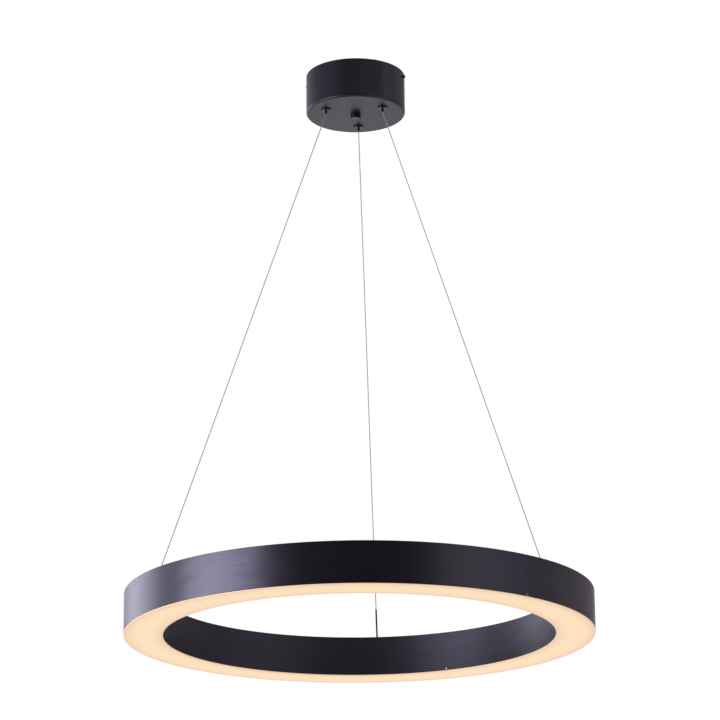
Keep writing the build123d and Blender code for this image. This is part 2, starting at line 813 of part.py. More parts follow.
# opal tray: a flat face whose rims cover the walls' lower ends, and a flange inside each wall
tray_outer = outer_wall_face - diffuser_gap
tray_inner = inner_wall_face + diffuser_gap
tray_top = rib_bottom - diffuser_gap
with BuildPart() as diffuser:
    with BuildSketch(Plane.XZ):
        with BuildLine():
            Polyline(
                (ring_inner_radius, ring_bottom),
                (ring_radius, ring_bottom),
                (ring_radius, rim_top),
                (tray_outer, rim_top),
                (tray_outer, tray_top),
                (tray_outer - diffuser_flange, tray_top),
                (tray_outer - diffuser_flange, rim_top),
                (tray_inner + diffuser_flange, rim_top),
                (tray_inner + diffuser_flange, tray_top),
                (tray_inner, tray_top),
                (tray_inner, rim_top),
                (ring_inner_radius, rim_top),
                close=True,
            )
        make_face()
    revolve(axis=Axis.Z)
    for angle in outer_screw_angles:
        with BuildSketch(
            Plane(
                origin=on_circle(tray_outer, angle, ring_bottom + edge_screw_level),
                z_dir=on_circle(-1, angle),
            )
        ):
            Circle(edge_screw_radius + thread_gap)
        extrude(amount=3 * diffuser_flange, mode=Mode.SUBTRACT)
    for angle in inner_screw_angles:
        with BuildSketch(
            Plane(
                origin=on_circle(tray_inner, angle, ring_bottom + edge_screw_level),
                z_dir=on_circle(1, angle),
            )
        ):
            Circle(edge_screw_radius + thread_gap)
        extrude(amount=3 * diffuser_flange, mode=Mode.SUBTRACT)
save(diffuser, "diffuser")


def edge_screws(angles, wall_radius, outward):
    """Small pan-head screws through a wall: outward is 1 on the outer wall, -1 on the inner."""
    reach = ring_wall + diffuser_gap + diffuser_flange + screw_stand_out
    with BuildPart() as screws:
        for angle in angles:
            seat = Plane(
                origin=on_circle(
                    wall_radius + outward * thread_gap, angle, ring_bottom + edge_screw_level
                ),
                z_dir=on_circle(outward, angle),
            )
            with BuildSketch(seat):
                Circle(edge_screw_head_radius)
            extrude(amount=edge_screw_head_height, taper=20)
            with BuildSketch(seat):
                Circle(edge_screw_radius)
            extrude(amount=-reach)
    return screws


save(edge_screws(outer_screw_angles, ring_radius, 1), "outer_edge_screws")
save(edge_screws(inner_screw_angles, ring_inner_radius, -1), "inner_edge_screws")

# ---------------------------------------------------------------- hangers

hanger_spots = [place[:2] for place in hanger_places]

# flanged bushes that pass through the web
with BuildPart() as hanger_bushes:
    with BuildSketch(Plane.XY.offset(bush_bottom)):
        with Locations(*hanger_spots):
            Circle(bush_stud_radius)
    extrude(amount=ring_top - bush_bottom)
    with BuildSketch(Plane.XY.offset(ring_top)):
        with Locations(*hanger_spots):
            Circle(bush_head_radius)
    extrude(amount=bush_head_height)
    with BuildSketch(Plane.XY.offset(bush_bottom)):
        with Locations(*hanger_spots):
            Circle(nozzle_bore)
    extrude(amount=bush_top - bush_bottom, mode=Mode.SUBTRACT)
save(hanger_bushes, "hanger_bushes")

# each wire runs through its bush to a hexagon-crimped ferrule that carries the load
with BuildPart() as wire_stops:
    with BuildSketch(Plane.XY.offset(ferrule_bottom)):
        with Locations(*hanger_spots):
            RegularPolygon(ferrule_radius, 6)
    extrude(amount=ferrule_length)
    with BuildSketch(Plane.XY.offset(bush_bottom)):
        with Locations(*hanger_spots):
            Circle(wire_radius)
    extrude(amount=bush_top - bush_bottom)
save(wire_stops, "wire_stops")

with BuildPart() as hanger_plates:
    for angle in wire_angles:
        with BuildSketch(Plane.XY.offset(web_bottom)):
            with Locations(Location(on_circle(ring_middle, angle), (0, 0, angle))):
                Rectangle(plate_width, plate_length)
                Circle(bush_stud_radius + hole_gap, mode=Mode.SUBTRACT)
        extrude(amount=-plate_thickness)
save(hanger_plates, "hanger_plates")

with BuildPart() as hanger_nuts:
    with BuildSketch(Plane.XY.offset(web_bottom - plate_thickness)):
        with Locations(*[place[:2] for place in hanger_places]):
            RegularPolygon(bush_stud_radius + bush_nut_wall, 6, major_radius=False)
            Circle(bush_stud_radius + thread_gap, mode=Mode.SUBTRACT)
    extrude(amount=-bush_nut_height)
save(hanger_nuts, "hanger_nuts")

# ---------------------------------------------------------------- light source

# curved aluminium boards bonded under the web
for number, start in enumerate(board_starts, start=1):
    start_plane = Plane((0, 0, 0), x_dir=on_circle(1, start), z_dir=on_circle(1, start - 90))
    with BuildPart() as led_board:
        with BuildSketch(start_plane):
            with Locations((ring_middle, board_bottom + board_thickness / 2)):
                Rectangle(board_width, board_thickness)
        revolve(axis=Axis.Z, revolution_arc=board_angle)
    save(led_board, f"led_board_{number}")

chip_margin = board_angle / chips_per_board / 2
with BuildPart() as led_chips:
    with BuildSketch(Plane.XY.offset(board_bottom)):
        for start in board_starts:
            with PolarLocations(
                ring_middle,
                chips_per_board,
                start_angle=start + chip_margin,
                angular_range=board_angle - 2 * chip_margin,
                endpoint=True,
            ):
                Rectangle(chip_width, chip_length)
    extrude(amount=-chip_height)
save(led_chips, "led_chips")

# a socket at each end of each board, joined to the next board by a short link
socket_radius = ring_middle + socket_side
socket_turn = degrees((socket_inset + socket_length / 2) / socket_radius)
half_socket = degrees(socket_length / 2 / socket_radius)
with BuildPart() as board_sockets:
    for start in board_starts:
        for turn in (socket_turn, board_angle - socket_turn):
            with BuildSketch(Plane.XY.offset(board_bottom)):
                with Locations(Location(on_circle(socket_radius, start + turn), (0, 0, start + turn))):
                    Rectangle(socket_width, socket_length)
            extrude(amount=-socket_height)
save(board_sockets, "board_sockets")

with BuildPart() as board_links:
    for number, start in enumerate(board_starts[:-1]):
        leaving = start + board_angle - socket_turn + half_socket
        arriving = board_starts[number + 1] + socket_turn - half_socket
        link_from = Vector(*on_circle(socket_radius, leaving, socket_level))
        link_to = Vector(*on_circle(socket_radius, arriving, socket_level))
        link_run = link_to - link_from
        with BuildSketch(
            Plane(
                origin=link_from + link_run.normalized() * seat_gap,
                x_dir=(0, 0, 1),
                z_dir=link_run,
            )
        ):
            Rectangle(link_thickness, link_width)
        extrude(amount=link_run.length - 2 * seat_gap)
save(board_links, "board_links")

# from the first wire's ferrule down and across to the underside of the first board's socket
socket_bottom = board_bottom - socket_height
socket_spot = on_circle(socket_radius, board_starts[0] + socket_turn, socket_bottom + ring_feed_dip)
ring_feed = lead(
    [
        (hanger_places[0][0], hanger_places[0][1], ferrule_bottom),
        (hanger_places[0][0], hanger_places[0][1], ferrule_bottom - ring_feed_dip),
        socket_spot,
    ],
    ring_feed_radius,
)
with BuildPart() as ring_feed_lead:
    add(ring_feed)
    split(bisect_by=Plane.XY.offset(socket_bottom), keep=Keep.BOTTOM)
save(ring_feed_lead, "ring_feed_lead")

wire_lean = degrees(atan2(ring_middle - gripper_circle, nozzle_tip - bush_top))
wire_length = hypot(ring_middle - gripper_circle, nozzle_tip - bush_top)
print(f"free wire: {wire_length:.1f} mm long, leaning {wire_lean:.1f} degrees")
print(f"spring: {spring_pitch - spring_wire:.2f} mm between turns")
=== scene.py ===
import json
import math

import bmesh
import bpy
import numpy as np
from mathutils import Matrix, Vector


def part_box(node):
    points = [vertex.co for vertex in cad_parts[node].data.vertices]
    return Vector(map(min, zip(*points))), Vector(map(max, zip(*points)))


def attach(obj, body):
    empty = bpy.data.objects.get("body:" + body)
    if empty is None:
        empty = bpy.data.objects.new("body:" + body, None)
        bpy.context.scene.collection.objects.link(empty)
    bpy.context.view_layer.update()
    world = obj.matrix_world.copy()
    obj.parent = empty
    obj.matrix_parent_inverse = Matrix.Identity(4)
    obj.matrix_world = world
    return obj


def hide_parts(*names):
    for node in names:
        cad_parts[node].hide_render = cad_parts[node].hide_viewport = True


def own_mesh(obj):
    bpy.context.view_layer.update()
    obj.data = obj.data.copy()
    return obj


# Ring pendant light, seen from below and in front. Metres, +Z up, ceiling at z = 0.
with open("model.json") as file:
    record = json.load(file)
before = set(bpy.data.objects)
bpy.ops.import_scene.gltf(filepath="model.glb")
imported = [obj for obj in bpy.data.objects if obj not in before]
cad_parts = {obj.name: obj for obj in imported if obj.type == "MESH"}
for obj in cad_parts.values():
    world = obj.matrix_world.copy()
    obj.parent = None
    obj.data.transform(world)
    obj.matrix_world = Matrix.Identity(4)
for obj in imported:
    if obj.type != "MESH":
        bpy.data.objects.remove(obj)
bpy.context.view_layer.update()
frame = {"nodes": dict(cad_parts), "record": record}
nodes = frame["nodes"]
mm = 0.001
print("frame loaded:", len(nodes), "CAD nodes")


def hexColour(code):
    # sRGB hex to linear, opaque: the standard curve, with its straight foot below 0.04045
    value = np.array([int(code[k:k + 2], 16) for k in (1, 3, 5)]) / 255
    linear = np.where(value <= 0.04045, value / 12.92, ((value + 0.055) / 1.055) ** 2.4)
    return (*linear.tolist(), 1.0)


def addNode(tree, kind, values=None, links=None, **settings):
    # one node with its settings, its sockets' values and the links into it
    node = tree.nodes.new(kind)
    for name, value in settings.items():
        setattr(node, name, value)
    for socket, value in (values or {}).items():
        node.inputs[socket].default_value = value
    for socket, source in (links or {}).items():
        tree.links.new(source, node.inputs[socket])
    return node


def startMaterial(name):
    # a material with its shader linked to the output, and its Object coordinates
    material = bpy.data.materials.new(name)
    material.use_nodes = True
    tree = material.node_tree
    tree.nodes.clear()
    shader = addNode(tree, "ShaderNodeBsdfPrincipled")
    addNode(tree, "ShaderNodeOutputMaterial", links={"Surface": shader.outputs["BSDF"]})
    coords = addNode(tree, "ShaderNodeTexCoord")
    return material, tree, shader, coords.outputs["Object"]


def noiseField(tree, place, featureMm, detail=2.0):
    # noise whose features measure featureMm along x, y and z
    scaled = addNode(tree, "ShaderNodeMapping", values={"Scale": [1 / (f * mm) for f in featureMm]},
                     links={"Vector": place})
    noise = addNode(tree, "ShaderNodeTexNoise", values={"Scale": 1.0, "Detail": detail, "Roughness": 0.5},
                    links={"Vector": scaled.outputs["Vector"]})
    return noise.outputs["Fac"]


def axisDistance(tree, place):
    # how far a point lies from the ring's upright axis
    level = addNode(tree, "ShaderNodeVectorMath", operation="MULTIPLY", values={1: (1, 1, 0)},
                    links={0: place})
    reach = addNode(tree, "ShaderNodeVectorMath", operation="LENGTH", links={0: level.outputs["Vector"]})
    return reach.outputs["Value"]


usualBump = 0.3  # how strongly the grain stands up where a look doesn't say


def grainOf(tree, shader, place, look, detail=3.0):
    # a fine field moves the roughness between the look's two values and stands up as bump
    grain = noiseField(tree, place, look["grainMm"], detail)
    gloss = addNode(tree, "ShaderNodeMapRange", links={"Value": grain},
                    values={"To Min": look["roughness"][0], "To Max": look["roughness"][1]})
    bump = addNode(tree, "ShaderNodeBump", links={"Height": grain},
                   values={"Strength": look.get("bump", usualBump), "Distance": look["depthMm"] * mm})
    tree.links.new(gloss.outputs["Result"], shader.inputs["Roughness"])
    tree.links.new(bump.outputs["Normal"], shader.inputs["Normal"])
    return gloss, bump


cloudSpan = (0.3, 0.7)  # the part of the noise's range over which the two colours mix


def finishOf(name, look):
    # a surface from its dictionary: a cloudy field mixes its two colours, a fine one is its
    # grain, and where the look asks for it the inside is more matt and the sheet wavy
    material, tree, shader, place = startMaterial(name)
    spread = addNode(tree, "ShaderNodeMapRange", links={"Value": noiseField(tree, place, look["cloudMm"])},
                     values={"From Min": cloudSpan[0], "From Max": cloudSpan[1]})
    colour = addNode(tree, "ShaderNodeMix", data_type="RGBA", links={"Factor": spread.outputs["Result"]},
                     values={"A": hexColour(look["colours"][0]), "B": hexColour(look["colours"][1])})
    tree.links.new(colour.outputs["Result"], shader.inputs["Base Color"])
    gloss, bump = grainOf(tree, shader, place, look)
    if "insideMm" in look:
        inside = addNode(tree, "ShaderNodeMath", operation="LESS_THAN", values={1: look["insideMm"] * mm},
                         links={0: axisDistance(tree, place)})
        duller = addNode(tree, "ShaderNodeMath", operation="MULTIPLY_ADD", values={1: look["insideMatt"]},
                         links={0: inside.outputs["Value"], 2: gloss.outputs["Result"]})
        tree.links.new(duller.outputs["Value"], shader.inputs["Roughness"])
    if "waveMm" in look:
        swell = noiseField(tree, place, look["waveMm"], detail=1.0)
        wave = addNode(tree, "ShaderNodeBump", links={"Height": swell},
                       values={"Strength": 1.0, "Distance": look["waveDepthMm"] * mm})
        tree.links.new(wave.outputs["Normal"], bump.inputs["Normal"])
    for socket, value in look.get("shader", {}).items():
        shader.inputs[socket].default_value = value
    return material


def cadPoints(node):
    # the places of a CAD node's points
    place = np.empty(len(nodes[node].data.vertices) * 3, np.float32)
    nodes[node].data.vertices.foreach_get("co", place)
    return place.reshape(-1, 3)


def measured(node, centre=(0, 0)):
    # least and greatest distance of a CAD node's points from a vertical axis
    place = cadPoints(node)
    reach = np.hypot(place[:, 0] - centre[0], place[:, 1] - centre[1])
    return float(reach.min()), float(reach.max())


# satin black powder coat on spun and rolled metal: deep black with a soft shine; its lilac-grey Specular
# Tint is painted reflection colour that stands in for the lilac studio light
powderCoat = {"colours": ("#0a090c", "#0f0d12"), "roughness": (0.28, 0.40), "depthMm": 0.02, "bump": 0.22,
              "cloudMm": (160, 160, 7), "grainMm": (26, 26, 2.2),
              "shader": {"IOR": 1.48, "Specular Tint": hexColour("#dddcf0")}}
# the same coat on the ring: a little more matt inside its opening, where the spray lands thinner,
# and very slightly wavy, as rolled sheet is, which mottles the reflections
powderCoatRing = dict(powderCoat, insideMm=252, insideMatt=0.12, waveMm=(80, 80, 30), waveDepthMm=1.3)
# black anodised aluminium, finely turned: darker than the coat and a little sharper
blackAnodised = {"colours": ("#08080a", "#0e0e11"), "roughness": (0.24, 0.36), "depthMm": 0.01,
                 "cloudMm": (6, 6, 6), "grainMm": (4, 4, 0.5), "shader": {"IOR": 1.5}}
# black oxide on a small steel screw: nearly black, oily shine
blackOxide = {"colours": ("#0e0e10", "#1b1b1e"), "roughness": (0.28, 0.42), "depthMm": 0.01,
              "cloudMm": (2, 2, 2), "grainMm": (0.8, 0.8, 0.8), "shader": {"Metallic": 0.4}}
# zinc-plated steel strip, rolled along X: cool grey with long faint lines
zincPlate = {"colours": ("#a6a8a8", "#bfc0be"), "roughness": (0.28, 0.45), "depthMm": 0.01,
             "cloudMm": (30, 12, 12), "grainMm": (40, 0.7, 0.7), "shader": {"Metallic": 1.0}}
# nickel-plated small screws: a warm grey, slightly dulled
nickelPlate = {"colours": ("#75716c", "#8b8781"), "roughness": (0.32, 0.44), "depthMm": 0.005,
               "cloudMm": (2, 2, 2), "grainMm": (0.6, 0.6, 0.3), "shader": {"Metallic": 1.0}}
# free-turned steel: mid grey with fine rings of tool marks
turnedSteel = {"colours": ("#9b9c9e", "#b4b5b7"), "roughness": (0.24, 0.38), "depthMm": 0.01,
               "cloudMm": (5, 5, 5), "grainMm": (5, 5, 0.4), "shader": {"Metallic": 1.0}}
# cold-drawn spring wire: dark grey, drawn lines
springSteel = {"colours": ("#77787b", "#8f9093"), "roughness": (0.28, 0.40), "depthMm": 0.005,
               "cloudMm": (2, 2, 2), "grainMm": (0.8, 0.8, 0.5), "shader": {"Metallic": 1.0}}
# drawn stranded steel rope, slightly oily: an even mid grey with a soft shine on each strand
ropeSteel = {"colours": ("#767674", "#878785"), "roughness": (0.46, 0.58), "depthMm": 0.005,
             "cloudMm": (8, 8, 14), "grainMm": (1, 1, 2), "shader": {"Metallic": 0.15}}
# extruded brass bar: yellow, dulled in patches by handling
brassBar = {"colours": ("#a8853c", "#c7a558"), "roughness": (0.26, 0.42), "depthMm": 0.008,
            "cloudMm": (4, 4, 4), "grainMm": (0.5, 8, 0.5), "shader": {"Metallic": 1.0}}
# moulded polycarbonate, fine spark texture: an even matt off-white
driverShell = {"colours": ("#c6c5c2", "#d3d2ce"), "roughness": (0.48, 0.60), "depthMm": 0.03,
               "cloudMm": (25, 25, 25), "grainMm": (0.8, 0.8, 0.8), "shader": {"IOR": 1.58}}
# natural moulded polyamide: milky, slightly waxy
polyamide = {"colours": ("#dfdacb", "#ebe7da"), "roughness": (0.34, 0.46), "depthMm": 0.02,
             "cloudMm": (8, 8, 8), "grainMm": (1.2, 1.2, 1.2),
             "shader": {"IOR": 1.53, "Subsurface Weight": 0.15,
                        "Subsurface Radius": (2.0 * mm, 1.8 * mm, 1.4 * mm)}}
# soft PVC insulation: low sheen with the faint draw of the extruder
brownPvc = {"colours": ("#4f3320", "#5f4029"), "roughness": (0.38, 0.50), "depthMm": 0.01,
            "cloudMm": (9, 9, 9), "grainMm": (1.4, 1.4, 1.4), "shader": {"IOR": 1.53}}
# the earth lead's green
greenPvc = dict(brownPvc, colours=("#5f8a2c", "#769f3a"))
# black sleeve and leads: the same, but carbon-filled and almost without shine
blackPvc = dict(brownPvc, colours=("#08080a", "#0f0f12"), roughness=(0.50, 0.62), shader={"IOR": 1.25})
# white solder mask over aluminium: clean, slightly glossy
solderMask = {"colours": ("#e2e2de", "#f0f0ec"), "roughness": (0.28, 0.38), "depthMm": 0.01,
              "cloudMm": (12, 12, 12), "grainMm": (1.6, 1.6, 1.6), "shader": {"IOR": 1.5}}
# silicone over yellow phosphor: deep yellow and soft
phosphor = {"colours": ("#e3c044", "#f0d463"), "roughness": (0.30, 0.42), "depthMm": 0.02,
            "cloudMm": (2, 2, 2), "grainMm": (0.7, 0.7, 0.7), "shader": {"IOR": 1.41}}
# glass-filled nylon sockets: matt ivory
socketNylon = {"colours": ("#dcd8ca", "#e8e4d8"), "roughness": (0.46, 0.58), "depthMm": 0.02,
               "cloudMm": (4, 4, 4), "grainMm": (0.6, 0.6, 0.6), "shader": {"IOR": 1.53}}
# opal acrylic, moulded: cream, evenly lit from behind by warm LEDs; its glow is a little pinker and darker
# towards its two edges, where less light reaches, and greyer on the rims over the walls; its base colour
# darkens from the middle tone to the edge tone, which is painted shade
opalAcrylic = {"middle": "#beaa86", "edge": "#bb9c7d", "glow": "#ffddac", "glowEdge": "#fbca9e",
               "glowRim": "#e0c3a3", "strength": 0.465, "edgeMm": 17.0, "rimMm": 5.5, "rimFlatMm": 1.2,
               "roughness": (0.34, 0.44), "grainMm": (3, 3, 3), "depthMm": 0.02, "bump": 0.2, "IOR": 1.49}


def opalOf(name, look, inner, outer):
    # the tray's glow and its base colour change with the distance from the middle of its face; the base
    # colour darkening towards the edges is painted shade
    material, tree, shader, place = startMaterial(name)
    fromMiddle = addNode(tree, "ShaderNodeMath", operation="SUBTRACT", values={1: (inner + outer) / 2},
                         links={0: axisDistance(tree, place)})
    away = addNode(tree, "ShaderNodeMath", operation="ABSOLUTE", links={0: fromMiddle.outputs["Value"]})
    half = (outer - inner) / 2
    edge, rim = [addNode(tree, "ShaderNodeMapRange", interpolation_type="SMOOTHSTEP",
                         values={"From Min": half - wide * mm, "From Max": half - flat * mm},
                         links={"Value": away.outputs["Value"]})
                 for wide, flat in ((look["edgeMm"], 0), (look["rimMm"], look["rimFlatMm"]))]
    # the base colour runs from the middle tone to the darker edge tone: painted shade where less light
    # reaches the edges
    baseWithPaintedShade, glow = [addNode(tree, "ShaderNodeMix", data_type="RGBA", links={"Factor": edge.outputs["Result"]},
                          values={"A": hexColour(look[middle]), "B": hexColour(look[side])})
                  for middle, side in (("middle", "edge"), ("glow", "glowEdge"))]
    lastGlow = addNode(tree, "ShaderNodeMix", data_type="RGBA", values={"B": hexColour(look["glowRim"])},
                       links={"Factor": rim.outputs["Result"], "A": glow.outputs["Result"]})
    tree.links.new(baseWithPaintedShade.outputs["Result"], shader.inputs["Base Color"])
    tree.links.new(lastGlow.outputs["Result"], shader.inputs["Emission Color"])
    grainOf(tree, shader, place, look, detail=2.0)
    shader.inputs["Emission Strength"].default_value = look["strength"]
    shader.inputs["IOR"].default_value = look["IOR"]
    return material


diffuserInner, diffuserOuter = measured("diffuser")
materials = {
    "canopy_paint": finishOf("powderCoatBlack", powderCoat),
    "ring_paint": finishOf("powderCoatBlackRolled", powderCoatRing),
    "zinc_steel": finishOf("zincPlatedSteel", zincPlate),
    "black_screw": finishOf("blackOxideSteel", blackOxide),
    "bright_screw": finishOf("nickelPlatedSteel", nickelPlate),
    "driver_plastic": finishOf("mouldedPolycarbonate", driverShell),
    "block_polyamide": finishOf("mouldedPolyamide", polyamide),
    "brass_bar": finishOf("extrudedBrass", brassBar),
    "lead_brown": finishOf("brownPvc", brownPvc),
    "lead_earth": finishOf("greenPvc", greenPvc),
    "lead_black": finishOf("blackPvc", blackPvc),
    "black_metal": finishOf("blackAnodisedAluminium", blackAnodised),
    "turned_steel": finishOf("turnedSteel", turnedSteel),
    "spring_steel": finishOf("drawnSpringSteel", springSteel),
    "wire_steel": finishOf("strandedSteel", ropeSteel),
    "board_white": finishOf("whiteSolderMask", solderMask),
    "led_phosphor": finishOf("siliconePhosphor", phosphor),
    "socket_white": finishOf("glassFilledNylon", socketNylon),
    "opal_acrylic": opalOf("opalAcrylic", opalAcrylic, diffuserInner, diffuserOuter),
}
slotOf = {row["node"]: row["material_slot"] for row in frame["record"]["subparts"]}
for name, cadNode in nodes.items():
    cadNode.data.materials.clear()
    cadNode.data.materials.append(materials[slotOf[name]])
print("materials:", len(materials))


# where the photograph was taken from, solved from its ellipses: degrees, metres, and the lens
# in millimetres on a 36 mm sensor
viewpoint = {"azimuth": 15.0, "distance": 3.71805, "belowRing": 0.79164, "pitch": 17.3443, "yaw": 0.0504,
             "roll": -0.4417, "lens": 148.62, "sensor": 36, "clipEnd": 100}
ringLow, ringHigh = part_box("diffuser")[0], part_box("ring_housing")[1]
cameraTurn, pitch, yaw, roll = (math.radians(viewpoint[k]) for k in ("azimuth", "pitch", "yaw", "roll"))
forward = Vector((math.sin(yaw) * math.cos(pitch), math.cos(yaw) * math.cos(pitch), math.sin(pitch)))
right = Vector((math.cos(yaw), -math.sin(yaw), 0))
upward = right.cross(forward)
rolledRight = math.cos(roll) * right + math.sin(roll) * upward
rolledUp = math.cos(roll) * upward - math.sin(roll) * right
spin = Matrix.Rotation(cameraTurn, 3, "Z")
axes = Matrix((spin @ rolledRight, spin @ rolledUp, spin @ -forward)).transposed()
cameraData = bpy.data.cameras.new("camera")
cameraData.lens = viewpoint["lens"]
cameraData.sensor_width = viewpoint["sensor"]
cameraData.clip_end = viewpoint["clipEnd"]
camera = bpy.data.objects.new("camera", cameraData)
bpy.context.scene.collection.objects.link(camera)
eye = Vector((viewpoint["distance"] * math.sin(cameraTurn), -viewpoint["distance"] * math.cos(cameraTurn),
              ringLow.z - viewpoint["belowRing"]))
camera.matrix_world = Matrix.Translation(eye) @ axes.to_4x4()
bpy.context.scene.camera = camera
print("camera placed")


sharp = 1e-9  # a corner radius that leaves the corner as it is
nearAxis = 1 * mm  # closer to the axis than this, a lathed outline has only its own end points
weld = 1e-7  # points closer than this are merged


def makePiece(name, grids, closeAlong, closeAcross, body, slot, *replaced):
    # each grid of points (rows, columns, 3) becomes quads that join neighbours, and
    # wrap where a direction is closed; doubles at poles are merged, normals face out
    points, faces, start = [], [], 0
    for grid in grids:
        rows, columns = grid.shape[:2]
        index = start + np.arange(rows * columns).reshape(rows, columns)
        if closeAlong:
            index = np.vstack([index, index[:1]])
        if closeAcross:
            index = np.hstack([index, index[:, :1]])
        quads = np.stack([index[:-1, :-1], index[1:, :-1], index[1:, 1:], index[:-1, 1:]], -1)
        faces.append(quads.reshape(-1, 4))
        points.append(grid.reshape(-1, 3))
        start += rows * columns
    mesh = bpy.data.meshes.new(name)
    mesh.from_pydata(np.vstack(points).tolist(), [], np.vstack(faces).tolist())
    shape = bmesh.new()
    shape.from_mesh(mesh)
    bmesh.ops.remove_doubles(shape, verts=shape.verts, dist=weld)
    bmesh.ops.recalc_face_normals(shape, faces=shape.faces)
    shape.to_mesh(mesh)
    shape.free()
    mesh.polygons.foreach_set("use_smooth", np.ones(len(mesh.polygons), bool))
    mesh.materials.append(materials[slot])
    piece = bpy.data.objects.new(name, mesh)
    bpy.context.scene.collection.objects.link(piece)
    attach(piece, body)
    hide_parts(*replaced)
    return piece


def roundedLoop(corners, radii, steps=5, support=0.15 * mm):
    # a closed outline with each corner turned on its radius: the arc runs from one
    # tangent point to the other as a blend of its two end radii, and a support point
    # beside each end keeps the flats flat
    corner = np.array(corners, float)
    radius = np.array(radii, float)[:, None]
    back = np.roll(corner, 1, 0) - corner
    ahead = np.roll(corner, -1, 0) - corner
    back /= np.linalg.norm(back, axis=1, keepdims=True)
    ahead /= np.linalg.norm(ahead, axis=1, keepdims=True)
    half = np.arccos(np.clip((back * ahead).sum(1, keepdims=True), -1, 1)) / 2
    bisector = (back + ahead) / np.linalg.norm(back + ahead, axis=1, keepdims=True)
    middle = corner + bisector * radius / np.sin(half)
    first = corner + back * radius / np.tan(half)
    last = corner + ahead * radius / np.tan(half)
    bend = (np.pi - 2 * half)[:, None]
    share = np.linspace(0, 1, steps)[None, :, None]
    arc = (np.sin((1 - share) * bend) * (first - middle)[:, None]
           + np.sin(share * bend) * (last - middle)[:, None]) / np.sin(bend)
    arc += middle[:, None]
    ends = [(first + back * support)[:, None], arc, (last + ahead * support)[:, None]]
    return np.concatenate(ends, 1).reshape(-1, 2)


def lathed(face, corners, radii, steps):
    # an outline that starts and ends on the axis: the face's own points from the axis out,
    # the rounded corners, and the axis point level with the last corner
    start, end = corners[0][1], corners[-1][1]
    loop = roundedLoop([*corners, (0, end), (0, start)], [*radii, sharp, sharp], steps)
    return np.vstack([face, loop[loop[:, 0] > nearAxis], [(0, end)]])


def turned(profile, segments, centre=(0, 0)):
    # the profile (radius, height) carried round a vertical axis through centre
    angle = np.arange(segments) * 2 * np.pi / segments
    radius, height = profile[:, 0], profile[:, 1]
    x = centre[0] + np.cos(angle)[:, None] * radius
    y = centre[1] + np.sin(angle)[:, None] * radius
    return np.stack([x, y, np.broadcast_to(height, x.shape)], -1)


def levelSections(top, foot, radiusOf, share):
    # a tube along a straight line whose sections are cut level: each offset square to
    # the line is slid along it until it has no height. radiusOf gives each section's
    # angles and radii from its share of the way
    run = foot - top
    along = run / np.linalg.norm(run)
    side = np.cross(along, (0, 0, 1))
    side /= np.linalg.norm(side)
    other = np.cross(along, side)
    angle, radius = radiusOf(share)
    offset = radius[..., None] * (np.cos(angle)[..., None] * side + np.sin(angle)[..., None] * other)
    offset = offset - along * (offset[..., 2] / along[2])[..., None]
    return top + share[:, None, None] * run + offset


def capped(tube):
    # closes a tube with a point at the middle of each end
    ends = [np.broadcast_to(tube[k].mean(0), tube[k].shape)[None] for k in (0, -1)]
    return np.concatenate([ends[0], tube, ends[1]])


# 1.2 mm rope of six strands, whose lay of about 7 mm is drawn longer, at 9 mm, to show
rope = {"radiusMm": 0.6, "strandMm": 0.26, "strands": 6, "layMm": 9.0, "rowMm": 0.5, "pointsAround": 18,
        "pathPoints": 9}
# shrunk sleeve on the first wire: its ends draw in by a share of the radius, over a share of its length
sleeve = {"radiusMm": 1.1, "rows": 28, "pointsAround": 20, "mouthIn": 0.10, "mouthOver": 0.05,
          "footIn": 0.05, "footOver": 0.03}
wireNumbers = (1, 2, 3)
sleeveWire = wireNumbers[0]
endDepth = 0.01 * mm  # points this close to a wire's top or bottom level belong to its end


def endPlaces(node):
    # the middle of a straight wire's two level ends, from its CAD node's own points
    place = cadPoints(node)
    height = place[:, 2]
    ends = [place[np.abs(height - level) < endDepth] for level in (height.max(), height.min())]
    return [(end.min(0) + end.max(0)) / 2 for end in ends]


def squashWithRing(piece):
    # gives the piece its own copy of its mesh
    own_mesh(piece)


def makeWire(number, top, foot, length):
    # strands pressed together about a core: the radius at an angle is where that ray leaves
    # the nearest strand's circle, and the whole turns once in each lay length

    def radiusOf(share):
        angle = np.arange(rope["pointsAround"]) * 2 * np.pi / rope["pointsAround"]
        step = 2 * np.pi / rope["strands"]
        twist = share[:, None] * length / (rope["layMm"] * mm) * 2 * np.pi
        local = np.mod(angle[None] - twist, step) - step / 2
        strand = rope["strandMm"] * mm
        centre = rope["radiusMm"] * mm - strand
        radius = centre * np.cos(local) + np.sqrt(np.maximum(strand**2 - (centre * np.sin(local))**2, 0))
        return np.broadcast_to(angle, radius.shape), radius

    rows = int(length / (rope["rowMm"] * mm))
    tube = capped(levelSections(top, foot, radiusOf, np.linspace(0, 1, rows)))
    wire = makePiece(f"suspensionWire{number}", [tube], False, True, "canopy", "wire_steel",
                     f"suspension_wire_{number}")
    squashWithRing(wire)
    return wire


def makeSleeve(top, foot):
    # tube round the wire's foot whose radius falls off exponentially at its mouth and foot
    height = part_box("feed_sleeve")[1].z
    mouth = foot + (top - foot) * (height - foot[2]) / (top[2] - foot[2])

    def radiusOf(share):
        taper = 1 - sleeve["mouthIn"] * np.exp(-share / sleeve["mouthOver"])
        taper = taper - sleeve["footIn"] * np.exp(-(1 - share) / sleeve["footOver"])
        angle = np.arange(sleeve["pointsAround"]) * 2 * np.pi / sleeve["pointsAround"]
        radius = sleeve["radiusMm"] * mm * np.repeat(taper[:, None], sleeve["pointsAround"], 1)
        return np.broadcast_to(angle, radius.shape), radius

    tube = capped(levelSections(mouth, foot, radiusOf, np.linspace(0, 1, sleeve["rows"])))
    piece = makePiece("feedSleeve", [tube], False, True, "canopy", "lead_black", "feed_sleeve")
    squashWithRing(piece)
    return piece


for number in wireNumbers:
    top, foot = endPlaces(f"suspension_wire_{number}")
    length = float(np.linalg.norm(foot - top))
    wire = makeWire(number, top, foot, length)
    onWire = [makeSleeve(top, foot)] if number == sleeveWire else []
print("wires:", len(wireNumbers))


